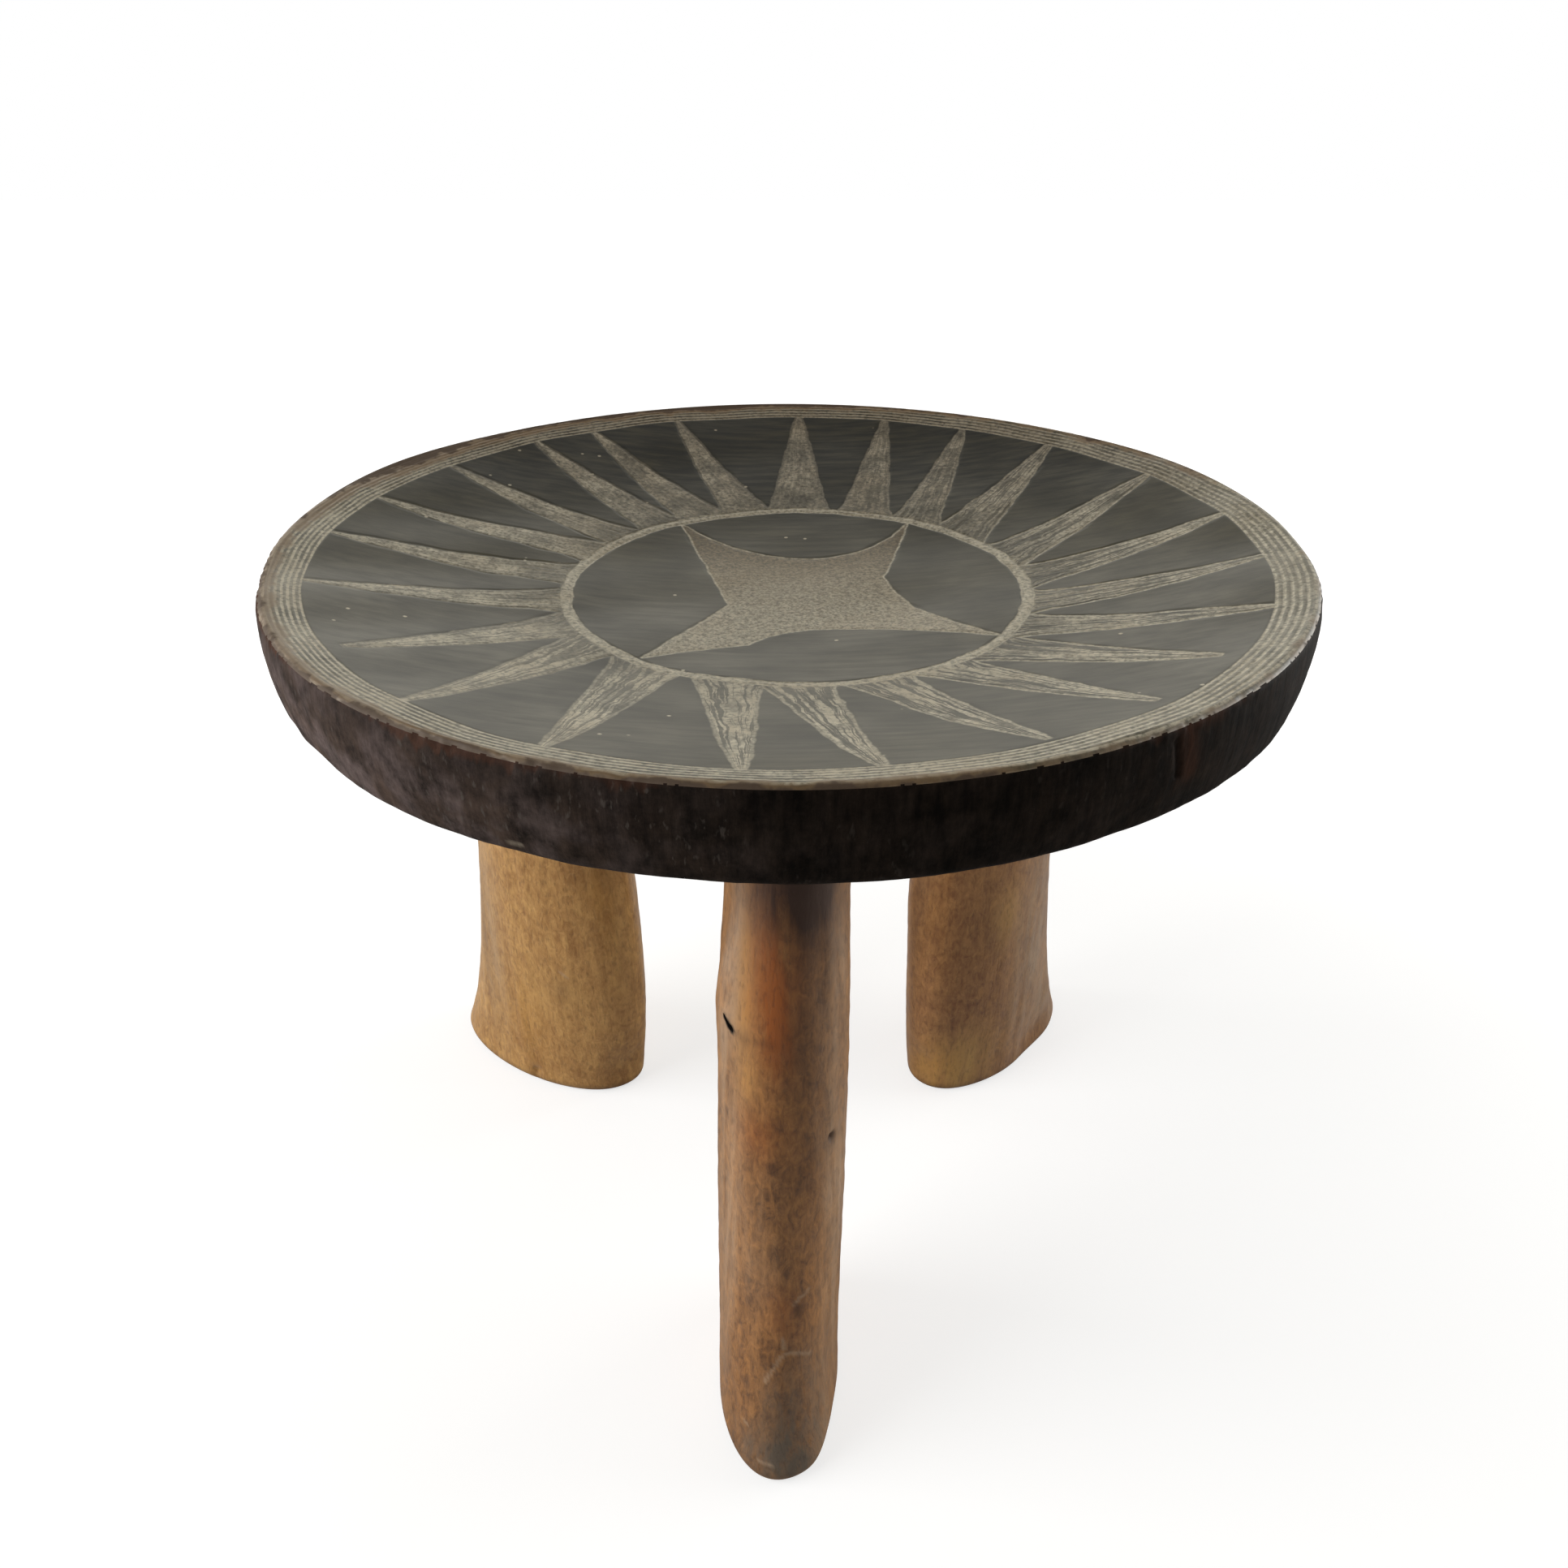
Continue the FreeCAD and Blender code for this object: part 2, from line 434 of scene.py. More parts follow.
# %% Sockets for the legs
def cut_away(piece, cutter):
    """Takes one mesh out of another and drops the cutter."""
    cut = piece.modifiers.new("cut", "BOOLEAN")
    cut.operation = "DIFFERENCE"
    cut.solver = "MANIFOLD"
    cut.object = cutter
    result = bpy.data.meshes.new_from_object(piece.evaluated_get(bpy.context.evaluated_depsgraph_get()))
    piece.modifiers.clear()
    piece.data = result
    bpy.data.objects.remove(cutter)


leg_names = ("front", "left", "right")
socket_sides = 96
below_top, below_belly = 2.0, 5
turn = np.arange(socket_sides) * 2 * math.pi / socket_sides
tenon_axes, tenon_tops = {}, {}
for name in leg_names:
    wedge_low, wedge_high = (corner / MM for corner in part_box(f"{name}_wedge"))
    tenon_axes[name] = np.array(((wedge_low.x + wedge_high.x) / 2, (wedge_low.y + wedge_high.y) / 2))
    tenon_tops[name] = wedge_high.z
    start = (*tenon_axes[name], tenon_tops[name] - below_top)
    socket_radius = reach(seat_solid, start, (1, 0, 0))
    socket_top = start[2] + reach(seat_solid, start, (0, 0, 1))
    x = tenon_axes[name][0] + socket_radius * np.cos(turn)
    y = tenon_axes[name][1] + socket_radius * np.sin(turn)
    heights = (socket_top, belly.middle - below_belly)
    levels = [np.stack((x, y, np.full(socket_sides, height)), axis=1) for height in heights]
    ends = [np.array(((*tenon_axes[name], height),)) for height in heights]
    cut_away(seat, add_to_scene("socket", closed_mesh("socket", [ends[0], *levels, ends[1]])))
    print(f"{name} socket: radius {socket_radius:.2f} mm, top at {socket_top:.1f} mm")
print(f"seat: {len(seat.data.polygons)} faces with its sockets")

# %% [markdown]
# Now the seat is carved. First each point is sorted by where it lies: on the dish, on the rim,
# on the belly or in a socket. Then each point of the dish sinks where a line was scratched. For
# waves without a pattern, a few dozen cosines with chosen wavelengths and seeded directions are
# added up. The distances are also stored on the mesh, so that the finish can follow the drawing.

# %% Sort the seat's points
def positions(mesh):
    flat = np.empty(len(mesh.vertices) * 3, np.float32)
    mesh.vertices.foreach_get("co", flat)
    return flat.reshape(-1, 3).astype(float) / MM


def smooth_step(low, high, value):
    share = np.clip((value - low) / (high - low), 0, 1)
    return share * share * (3 - 2 * share)


skin = 0.08
dish_edge = 173.5
socket_reach = 15.4
shoulder_near, shoulder_far = 42, 60
places = positions(seat.data)
x, y, z = places.T
radius = np.hypot(x, y)
around = np.arctan2(z - rim_core[1], radius - rim_core[0])
run = np.interp(-around, -sweep, rim_run)
on_dish = (np.abs(z - dish.height(np.minimum(radius, seat_radius))) < skin) & (radius < dish_edge)
run = np.where(on_dish & (radius < rim_core[0]), rim_run[0] - rim_core[0] + radius, run)
from_belly = np.abs(z - belly.height(np.minimum(radius, seat_radius)))
on_belly = (from_belly < skin) & (radius < rim_core[0])
in_socket = np.zeros(len(places), bool)
leg_clear = np.ones(len(places))
for name in leg_names:
    off_axis = np.hypot(x - tenon_axes[name][0], y - tenon_axes[name][1])
    in_socket |= (off_axis < socket_reach) & ~on_dish
    leg_clear = np.minimum(leg_clear, smooth_step(shoulder_near, shoulder_far, off_axis))
rim_share = np.where(on_dish | on_belly | in_socket, 0.0, 1.0)
print(f"points on the dish {on_dish.sum()}, on the belly {on_belly.sum()}, on the rim {int(rim_share.sum())}")

# %% Waves and grooves
def ripples(places, wavelength, seed, waves=24):
    """Smooth bumps about one wavelength apart, with a spread of about 1."""
    random = np.random.default_rng(seed)
    total = np.zeros(len(places))
    for _ in range(waves):
        heading = random.normal(size=3)
        heading *= random.uniform(0.7, 1.4) / np.linalg.norm(heading)
        phase = random.uniform(0, 2 * math.pi)
        total += np.cos(places @ (heading / wavelength) * 2 * math.pi + phase)
    return total * math.sqrt(2 / waves)


def groove(offset, half_width):
    """1 in the middle of a cut line, falling to 0 at its edges."""
    return np.clip(1 - (offset / half_width) ** 2, 0, 1)


print("a groove 2 mm wide, from its middle out:", groove(np.array((0.0, 0.5, 1.0)), 1.0))

# %% Sink the lines
line_depth, hatch_depth = 0.16, 0.07
line_half, band_half = 0.9, 0.8
hatch_lines = 3.0
wander_size, wander_length = 0.35, 14.0
torn_size, torn_length = 0.02, 2.2
wave_size, wave_length = 0.22, 55.0
tighter_left = 0.3
ray_depth, ray_across, ray_along, ray_number = ray_fields(x, y)
inside_star = star_depth(x, y)
ring_distance = np.hypot(x - ring_centre[0], y - ring_centre[1])
wander = wander_size * ripples(places, wander_length, 3)
cut = np.zeros(len(places))
for offset in (ray_depth, inside_star, ring_distance - ring_inside, ring_distance - ring_outside):
    cut = np.maximum(cut, line_depth * groove(offset + wander, line_half))
# The band was scratched tighter on the left, as the tool came round
band_squeeze = 1 + tighter_left * smooth_step(40, 165, -x)
for count in range(band_count):
    offset = (radius - band_inside) * band_squeeze - count * band_pitch
    cut = np.maximum(cut, line_depth * groove(offset, band_half))
hatch = np.abs((ray_across * hatch_lines + 0.5 * wander) % 1 - 0.5) * 2
cut = np.maximum(cut, hatch_depth * smooth_step(0.5, 1.0, hatch) * (ray_depth > 0.8))
rough = (ray_depth > 0) | (inside_star > 0) | (radius > band_inside)
cut += torn_size * ripples(places, torn_length, 4) * rough
sink = np.where(on_dish, cut + wave_size * ripples(places, wave_length, 5), 0.0)
print(f"lines sink up to {sink.max():.2f} mm")

# %% [markdown]
# The rim was hewn with an adze and trimmed with a knife, so it has upright ripples, isn't quite
# round and is deeper in some places than in others. Its lip is chipped where the stool has been
# knocked. Bumps round the rim are given by bearing, and the marks that the picture shows on it
# by picture points: a ray from the camera finds where each lies on the wood. The belly keeps
# the marks of the adze, apart from where the legs stand.

# %% Bumps round the rim
worn_edges = (
    (-163, 14, 0.7), (-147, 6, 0.5), (-120, 7, 0.9), (-112, 4, 0.8), (-103, 3, 0.6),
    (-57, 6, 0.55), (-48, 4, 0.45), (-20, 9, 0.3), (60, 20, 0.5), (130, 16, 0.6),
)
uneven_round = ((152, 16, 3.2), (28, 14, 1.8), (-166, 9, -0.9), (-4, 7, -0.8))
deeper_rim = ((-90, 45, 1.0), (-128, 12, 1.0), (-40, 12, 1.2), (-16, 10, 3.0))
bearing = np.arctan2(y, x)


def by_bearing(bumps, gather):
    """Bumps round the rim, each given by its bearing and spread in degrees and its amount."""
    total = np.zeros(len(places))
    for middle, spread, amount in bumps:
        off = (np.degrees(bearing) - middle + 180) % 360 - 180
        total = gather(total, amount * np.exp(-((off / spread) ** 2)))
    return total


print(f"the rim swells by up to {by_bearing(uneven_round, np.add).max():.1f} mm")

# %% Marks on the rim
far_away = 1000.0


def on_wood(solid, pixel):
    """The point of a solid that a point of the picture shows, in mm."""
    right = (pixel[0] - picture_pixels / 2) / focal_pixels
    up = (picture_pixels / 2 - pixel[1]) / focal_pixels
    ahead = Vector((0.0, math.cos(looking_down), -math.sin(looking_down)))
    upwards = Vector((0.0, math.sin(looking_down), math.cos(looking_down)))
    direction = ahead + Vector((right, 0.0, 0.0)) + upwards * up
    return np.array(solid.ray_cast(camera_place * MM, direction.normalized())[0]) / MM


def near_line(places, line):
    """Distance of each place from a line through the given points."""
    nearest = np.full(len(places), far_away)
    for start, end in zip(line[:-1], line[1:]):
        run = end - start
        share = np.clip((places - start) @ run / (run @ run), 0, 1)
        nearest = np.minimum(nearest, np.linalg.norm(places - start - share[:, None] * run, axis=1))
    return nearest


def near_mark(pixels):
    """Distance of each point of the seat from a line that the picture shows on it."""
    return near_line(places, np.array([on_wood(seat_solid, pixel) for pixel in pixels]))


nick_half, split_half, scar_half = 1.0, 1.3, 3.2
nick = groove(np.minimum(near_mark(((626, 1034), (641, 1037))), nick_half), nick_half) * rim_share
split_offset = near_mark(((1447, 886), (1451, 915), (1452, 955)))
split = groove(np.minimum(split_offset, split_half), split_half) * rim_share
scar = np.zeros(len(places))
for ends in (((1463, 890), (1466, 950)), ((1478, 882), (1500, 872))):
    scar = np.maximum(scar, np.exp(-((near_mark(ends) / scar_half) ** 2)) * rim_share)
print(f"rim marks on {int((nick > 0).sum() + (split > 0).sum() + (scar > 0.1).sum())} points")

# %% Work the rim and the belly
upright = np.stack((x, y, z * 0.12), axis=1)
rim_ripple = np.zeros(len(places))
for amount, wavelength, seed in ((0.1, 48.0, 6), (0.09, 17.0, 7), (0.03, 5.0, 8)):
    rim_ripple += amount * ripples(upright, wavelength, seed)
rim_fade = smooth_step(0.5, 4.0, run) * rim_share
under_edge = np.where(on_dish | in_socket, 0.0, smooth_step(140, 170, radius))
outer = np.where(on_dish, smooth_step(169, 174, radius), under_edge)
swell = by_bearing(uneven_round, np.add) * outer
deepen = by_bearing(deeper_rim, np.add) * np.where(on_belly, 1.0, smooth_step(10, 24, run)) * under_edge
flat_places = places * (1, 1, 0)
ragged = 0.7 * ripples(flat_places, 5.0, 9) + 0.6 * ripples(flat_places, 2.4, 11)
chips = np.clip(by_bearing(worn_edges, np.maximum) * (0.75 + 0.45 * ragged), 0, 1.3)
chip_depth, nick_depth, split_depth = 0.6, 0.3, 0.7
chip_place, chip_half = 0.8, 2.6
chip_cut = chip_depth * chips * groove(run - chip_place, chip_half) + nick_depth * nick + split_depth * split
push_out = swell + np.where(rim_share > 0, rim_ripple * rim_fade - chip_cut, 0.0)
adze_size, adze_length = 0.35, 26.0
adze = adze_size * np.abs(ripples(flat_places, adze_length, 10)) * leg_clear
lift_belly = np.where(on_belly, adze * smooth_step(0, 12, rim_core[0] - radius), 0.0)
moved = places.copy()
moved[:, 0] += push_out * np.cos(bearing)
moved[:, 1] += push_out * np.sin(bearing)
moved[:, 2] += lift_belly - sink - deepen - 0.5 * chip_cut * (rim_share > 0)
seat.data.vertices.foreach_set("co", (moved * MM).astype(np.float32).ravel())
print(f"rim moves between {push_out.min():.2f} and {push_out.max():.2f} mm")

# %% Store the drawing on the seat
# How densely a ray is hatched and how clear its outline is depend on its side; its brightness by side is
# painted light and shade, brighter at the front and on the left, dimmer at the back
facing = np.radians(np.array([base + lean / 2 for base, lean, breadth in rays]))[ray_number.astype(int)]
seat_facts = {
    "ray_depth": ray_depth,
    "ray_across": ray_across,
    "ray_along": ray_along,
    "ray_number": ray_number,
    "ray_dense": 0.37 - 0.25 * np.cos(facing) + 0.22 * np.sin(facing),
    "ray_painted_light": 1.02 - 0.05 * np.cos(facing) - 0.18 * np.sin(facing),
    "ray_outline": 0.62 + 0.38 * np.cos(facing - math.radians(-30)),
    "band_squeeze": band_squeeze,
    "star_depth": inside_star,
    "edge_run": run,
    "chipped": chips,
    "nick": nick,
    "split": split,
    "scar": scar,
}


def store(mesh, facts):
    """Keeps one number per point for each fact."""
    for name, values in facts.items():
        attribute = mesh.attributes.new(name, "FLOAT", "POINT")
        attribute.data.foreach_set("value", values.astype(np.float32))


store(seat.data, seat_facts)
seat.data.polygons.foreach_set("use_smooth", np.ones(len(seat.data.polygons), bool))
seat.data.update()
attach(seat, "root")
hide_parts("seat")
print("stored on the seat:", list(seat_facts))

# %% [markdown]
# The seat is a hard, dense wood, blackened with smoke and grease and rubbed smooth, so it is a
# dark satin surface. The drawing was scratched through the black: a scratch is torn fibre,
# paler and rougher, never one clean line. In the shader each stored distance becomes a line
# with a smooth edge, the rays are filled with long scratches that run to their tips, and noise
# breaks all of them up. Pattern sizes are in millimetres and turned to scales by one division.
# Real fibre and stippling are finer than the picture can show, so they are drawn about 1 mm wide.

# %% Blackened seat: the lines
def scale_of(size):
    """The texture scale whose features are about this many millimetres across."""
    return 1 / (size * MM)


seat_wood, add = blank_material("blackened_scratched_hardwood")
place = add("TexCoord", output="Object")
axes = add("SeparateXYZ", [place]).node.outputs
stored = {name: add("Attribute", output="Fac", attribute_name=name) for name in seat_facts}
noise = {}
for name, size, detail, roughness in (
    ("hand", 8, 3, 0.5), ("torn", 1.5, 3, 0.6), ("grit", 2.6, 2, 0.5),
    ("patch", 24, 3, 0.5), ("rub", 11, 3, 0.6), ("dots", 0.9, 2, 0.5),
):
    look = {"Vector": place, "Scale": scale_of(size), "Detail": detail, "Roughness": roughness}
    noise[name] = add("TexNoise", look)
shake = add("Math", [noise["hand"], 2.4, -1.2], operation="MULTIPLY_ADD")
flat_place = add("VectorMath", [place, (1 / MM, 1 / MM, 0)], operation="MULTIPLY")
seat_distance = add("VectorMath", [flat_place], operation="LENGTH")
from_ring = add("VectorMath", [flat_place, (*ring_centre, 0)], operation="SUBTRACT")
ring_distance = add("VectorMath", [from_ring], operation="LENGTH")

lines, inside = [], {}
for name in ("ray_depth", "star_depth"):
    shaken = add("Math", [stored[name], shake], operation="ADD")
    offset = add("Math", [shaken], operation="ABSOLUTE")
    lines.append(add("MapRange", [offset, 0.2, 0.95, 1.0, 0.0], **soft_ends))
    inside[name] = add("MapRange", [shaken, -0.1, 0.5], **soft_ends)
lines[0] = add("Math", [lines[0], stored["ray_outline"]], operation="MULTIPLY")
for edge in (ring_inside, ring_outside):
    shaken = add("Math", [ring_distance, shake], operation="ADD")
    offset = add("Math", [shaken, edge], operation="SUBTRACT")
    offset = add("Math", [offset], operation="ABSOLUTE")
    lines.append(add("MapRange", [offset, 0.25, 0.9, 1.0, 0.0], **soft_ends))
print(f"{len(lines)} outlines")

# %% Blackened seat: rays and star
hatch_size = (6.0, 2.6, 3.7)
curl = add("Math", [noise["hand"], 0.5, stored["ray_across"]], operation="MULTIPLY_ADD")
ray_place = add("CombineXYZ", [curl, stored["ray_along"], stored["ray_number"]])
ray_place = add("VectorMath", [ray_place, hatch_size], operation="MULTIPLY")
strokes = add("TexNoise", {"Vector": ray_place, "Scale": 1.0, "Detail": 2.0, "Roughness": 0.7})
# The upper end of a ray's fill carries its painted light and shade by side
ray_fill = add("MapRange", [strokes, 0.44, 0.56, stored["ray_dense"], stored["ray_painted_light"]], **soft_ends)
rubbed_off = add("MapRange", [noise["rub"], 0.36, 0.6, 0.5, 1.15])
# The rays are smudged where they meet the ring, apart from those at the front
smudge = add("MapRange", [axes["Y"], -90 * MM, -40 * MM, 1.0, 0.72], **soft_ends)
smudge = add("MapRange", [stored["ray_along"], 0.0, 0.45, smudge, 1.04], **soft_ends)
for share in (inside["ray_depth"], rubbed_off, smudge):
    ray_fill = add("Math", [ray_fill, share], operation="MULTIPLY")
# The star is stippled, and its two back arms are painted dimmer, as painted shade
star_fill = add("MapRange", [noise["dots"], 0.36, 0.6, 0.55, 1.1])
star_back_shade = add("MapRange", [axes["Y"], 5 * MM, 58 * MM, 1.0, 0.62], **soft_ends)
for share in (inside["star_depth"], star_back_shade):
    star_fill = add("Math", [star_fill, share], operation="MULTIPLY")
print("fillings: hatched rays and a stippled star")

# %% Blackened seat: ring and band
ring_fill = add("MapRange", [ring_distance, ring_inside - 0.3, ring_inside + 0.5], **soft_ends)
ring_end = add("MapRange", [ring_distance, ring_outside - 0.5, ring_outside + 1.5, 0.95, 0.0], **soft_ends)
ring_fill = add("Math", [ring_fill, ring_end], operation="MULTIPLY")
# The band's lines wander a little, and on the right they are dimmer and the gaps paler
band_place = add("Math", [seat_distance, band_inside], operation="SUBTRACT")
band_turns = add("Math", [band_place, 1 / band_pitch], operation="MULTIPLY")
band_turns = add("Math", [band_turns, stored["band_squeeze"]], operation="MULTIPLY")
sway = add("Math", [noise["patch"], 0.9, -0.45], operation="MULTIPLY_ADD")
band_turns = add("Math", [band_turns, sway], operation="ADD")
band_wave = add("Math", [band_turns, 0.5], operation="PINGPONG")
to_the_right = [axes["X"], 60 * MM, 150 * MM]
gap_least = add("MapRange", [*to_the_right, 0.1, 0.25])
line_most = add("MapRange", [*to_the_right, 1.25, 0.92])
gap = add("MapRange", [noise["rub"], 0.36, 0.62, gap_least, 0.55])
band_fill = add("MapRange", [band_wave, 0.1, 0.34, line_most, gap], **soft_ends)
band_share = add("MapRange", [band_place, -0.7, -0.1], **soft_ends)
band_fill = add("Math", [band_fill, band_share], operation="MULTIPLY")

drawing = 0.0
fillings = (ray_fill, star_fill, ring_fill, band_fill)
for parts, least, most in ((fillings, 0.3, 1.15), (lines, 0.35, 1.0)):
    broken = add("MapRange", [noise["torn"], 0.32, 0.62, least, most])
    for part in parts:
        part = add("Math", [part, broken], operation="MULTIPLY", use_clamp=True)
        drawing = add("Math", [drawing, part], operation="MAXIMUM")
print("drawing: rays, star, ring and band")

# %% [markdown]
# Between the lines the black is rubbed to brown along the sitter's way, from side to side, and
# is still untouched at the back, where it is also painted darker as painted shade. A few pale specks are
# scattered over it, mostly on the left.
# The scratched wood is cream, tanned in patches and browner towards the back and in the star.

# %% Blackened seat: the field
brushed = add("VectorMath", [place, (0.12, 1.0, 1.0)], operation="MULTIPLY")
brush = add("TexNoise", {"Vector": brushed, "Scale": scale_of(3.0), "Detail": 4.0, "Roughness": 0.6})
rubbed = add("Math", [brush, noise["patch"]], operation="MULTIPLY")
rubbed = add("MapRange", [rubbed, 0.12, 0.42])
field = add("Mix", {0: rubbed, 6: colour("2b2616"), 7: colour("48412a")}, **as_colour)
# Painted shade: the back of the dish is painted darker, and left a little rougher where it is unrubbed
untouched_and_shaded_back = add("MapRange", [axes["Y"], 20 * MM, 110 * MM, 0.0, 0.85], **soft_ends)
smudged = add("MapRange", [brush, 0.36, 0.64, 1.2, 0.5])
untouched_and_shaded_back = add("Math", [untouched_and_shaded_back, smudged], operation="MULTIPLY", use_clamp=True)
field = add("Mix", {0: untouched_and_shaded_back, 6: field, 7: colour("15120b")}, **as_colour)
specks = add("TexVoronoi", {"Vector": place, "Scale": scale_of(8)}).node.outputs
speck = add("MapRange", [specks["Distance"], 0.06, 0.11, 1.0, 0.0])
speck_pick = add("SeparateColor", [specks["Color"]], output="Red")
fewer = add("MapRange", [axes["X"], -150 * MM, 80 * MM, 0.6, 0.94])
speck_pick = add("Math", [speck_pick, fewer], operation="GREATER_THAN")
speck = add("Math", [speck, speck_pick], operation="MULTIPLY")
marked = add("Math", [drawing, speck], operation="MAXIMUM")

pale = add("Mix", {0: noise["grit"], 6: colour("a69c85"), 7: colour("e6ddc7")}, **as_colour)
tanned = add("MapRange", [noise["patch"], 0.46, 0.62, 0.0, 0.3])
base_brown = add("MapRange", [stored["ray_along"], 0.0, 0.5, 0.35, 0.0])
base_brown = add("Math", [base_brown, inside["ray_depth"]], operation="MULTIPLY")
star_back = add("MapRange", [axes["Y"], -20 * MM, 55 * MM, 0.2, 0.95])
star_brown = add("Math", [inside["star_depth"], star_back], operation="MULTIPLY")
aged = add("MapRange", [axes["Y"], 20 * MM, 150 * MM, 0.0, 0.6])
for share, tint in ((tanned, "b3a082"), (base_brown, "8f8269"), (star_brown, "877355"), (aged, "7c6a52")):
    pale = add("Mix", {0: share, 6: pale, 7: colour(tint)}, **as_colour)
dish_colour = add("Mix", {0: marked, 6: field, 7: pale}, **as_colour)
print("field: black rubbed to brown, with pale specks")

# %% Blackened seat: lip, gloss and relief
# The worn lip is tan and then brown, narrow on the right and wide at the back and on the left
lip_wobble = add("Math", [noise["rub"], 11.0, -5.5], operation="MULTIPLY_ADD")
lip_wobble = add("Math", [noise["torn"], 2.0, lip_wobble], operation="MULTIPLY_ADD")
narrow = add("MapRange", [axes["X"], -20 * MM, 120 * MM, 0.0, -3.0], **soft_ends)
wide = add("MapRange", [axes["Y"], 0.0, 90 * MM, 0.0, 3.4], **soft_ends)
left_wide = add("MapRange", [axes["X"], -165 * MM, -60 * MM, 1.6, 0.0], **soft_ends)
lip_place = stored["edge_run"]
for shift in (lip_wobble, narrow, wide):
    lip_place = add("Math", [lip_place, shift], operation="ADD")
lip_left = add("Math", [lip_place, left_wide], operation="ADD")
lip_steps = ((lip_left, -4.0, -0.6, 0.75, "806648"), (lip_place, -0.9, 0.7, 0.8, "46352a"))
for reached, start, end, most, tint in lip_steps:
    lip = add("MapRange", [reached, start, end, 0.0, most], **soft_ends)
    dish_colour = add("Mix", {0: lip, 6: dish_colour, 7: colour(tint)}, **as_colour)
satin = 0.43
for share, rougher in ((marked, 0.1), (lip, 0.35), (untouched_and_shaded_back, 0.1), (rubbed, -0.08)):
    satin = add("Math", [share, rougher, satin], operation="MULTIPLY_ADD")
relief = add("Math", [drawing, -0.6], operation="MULTIPLY")
relief = add("Math", [noise["torn"], 0.35, relief], operation="MULTIPLY_ADD")
bump = add("Bump", {"Height": relief, "Strength": 0.3, "Distance": 0.25 * MM})
shader = add("BsdfPrincipled", {"Base Color": dish_colour, "Roughness": satin, "IOR": 1.5, "Normal": bump})
add("OutputMaterial", [shader])
print(f"dish finish: {len(seat_wood.node_tree.nodes)} nodes")

# %% [markdown]
# The rim and the belly were never rubbed smooth. They are charred and sooty, with the upright
# fibre of the log showing as fine streaks, so they are nearly black, matt, and mirror little.
# On the left the soot has bleached to an ashy grey, and it is painted lighter still there, as
# painted light from the lamp on that side. Along the top edge it is knocked off in
# places, down to brown wood, and pale flecks are scattered in clusters, fewer on the right.

# %% Charred rim: soot, ash and painted light
rim_wood, add = blank_material("charred_upright_hardwood")
place = add("TexCoord", output="Object")
sideways = add("SeparateXYZ", [place], output="X")
stored = {}
for name in ("edge_run", "chipped", "nick", "split", "scar"):
    stored[name] = add("Attribute", output="Fac", attribute_name=name)
noise = {}
for name, size, squash, detail, roughness in (
    ("fibre", 2.2, 0.2, 4, 0.65), ("soot", 9, 1.0, 5, 0.7), ("grit", 2.6, 1.0, 3, 0.5),
    ("ash", 12, 1.0, 3, 0.5), ("fleck", 1.6, 0.4, 2, 0.5), ("cluster", 20, 1.0, 1, 0.5),
):
    drawn_out = add("VectorMath", [place, (1.0, 1.0, squash)], operation="MULTIPLY")
    look = {"Vector": drawn_out, "Scale": scale_of(size), "Detail": detail, "Roughness": roughness}
    noise[name] = add("TexNoise", look)
shade = add("Math", [noise["fibre"], noise["soot"]], operation="MULTIPLY")
shade = add("MapRange", [shade, 0.15, 0.42])
rim_colour = add("Mix", {0: shade, 6: colour("0c0a08"), 7: colour("28201a")}, **as_colour)
# Painted light: the left of the rim is painted lighter, partly bleached ash and partly the lamp's light on
# that side
ash_and_light_left = add("MapRange", [sideways, -170 * MM, 15 * MM, 1.0, 0.06], **soft_ends)
patchy = add("MapRange", [noise["soot"], 0.34, 0.64, 0.35, 0.7])
bleached_and_lit = add("Math", [ash_and_light_left, patchy], operation="MULTIPLY")
bloom = add("Math", [noise["fibre"], 0.4], operation="MULTIPLY")
bloom = add("Math", [noise["soot"], 2.6, bloom], operation="MULTIPLY_ADD")
bloom = add("MapRange", [bloom, 1.0, 2.2, 0.0, 0.8])
low_down = add("MapRange", [stored["edge_run"], 2.0, 16.0, 0.5, 1.1], **soft_ends)
furrow = add("MapRange", [noise["fibre"], 0.38, 0.6, 0.86, 1.1])
for share in (ash_and_light_left, low_down, furrow):
    bloom = add("Math", [bloom, share], operation="MULTIPLY", use_clamp=True)
ash = add("MapRange", [noise["ash"], 0.42, 0.58])
ash_and_light_colour = add("Mix", {0: ash, 6: colour("67554b"), 7: colour("80706d")}, **as_colour)
for share, tint in ((bleached_and_lit, colour("463a36")), (bloom, ash_and_light_colour)):
    rim_colour = add("Mix", {0: share, 6: rim_colour, 7: tint}, **as_colour)
print("rim: soot, bleached to ash on the left")

# %% Charred rim: flecks, wear and relief
fleck = add("MapRange", [noise["fleck"], 0.6, 0.7])
cluster = add("MapRange", [noise["cluster"], 0.5, 0.62, 0.0, 0.6])
few_flecks = add("MapRange", [sideways, -60 * MM, 40 * MM, 1.0, 0.25], **soft_ends)
for share in (cluster, few_flecks):
    fleck = add("Math", [fleck, share], operation="MULTIPLY")
wear_reach = add("Math", [stored["chipped"], 4.0, -0.5], operation="MULTIPLY_ADD")
wear_reach = add("Math", [noise["grit"], 2.4, wear_reach], operation="MULTIPLY_ADD")
wear = add("Math", [wear_reach, stored["edge_run"]], operation="SUBTRACT")
wear = add("MapRange", [wear, 0.0, 2.0, 0.0, 0.85])
sheltered = add("Math", [ash_and_light_left, 0.6, 0.4], operation="MULTIPLY_ADD")
wear = add("Math", [wear, sheltered], operation="MULTIPLY")
worn = add("Mix", {0: noise["fibre"], 6: colour("2a1710"), 7: colour("5e3f30")}, **as_colour)
layers = [(fleck, colour("57504b")), (wear, worn)]
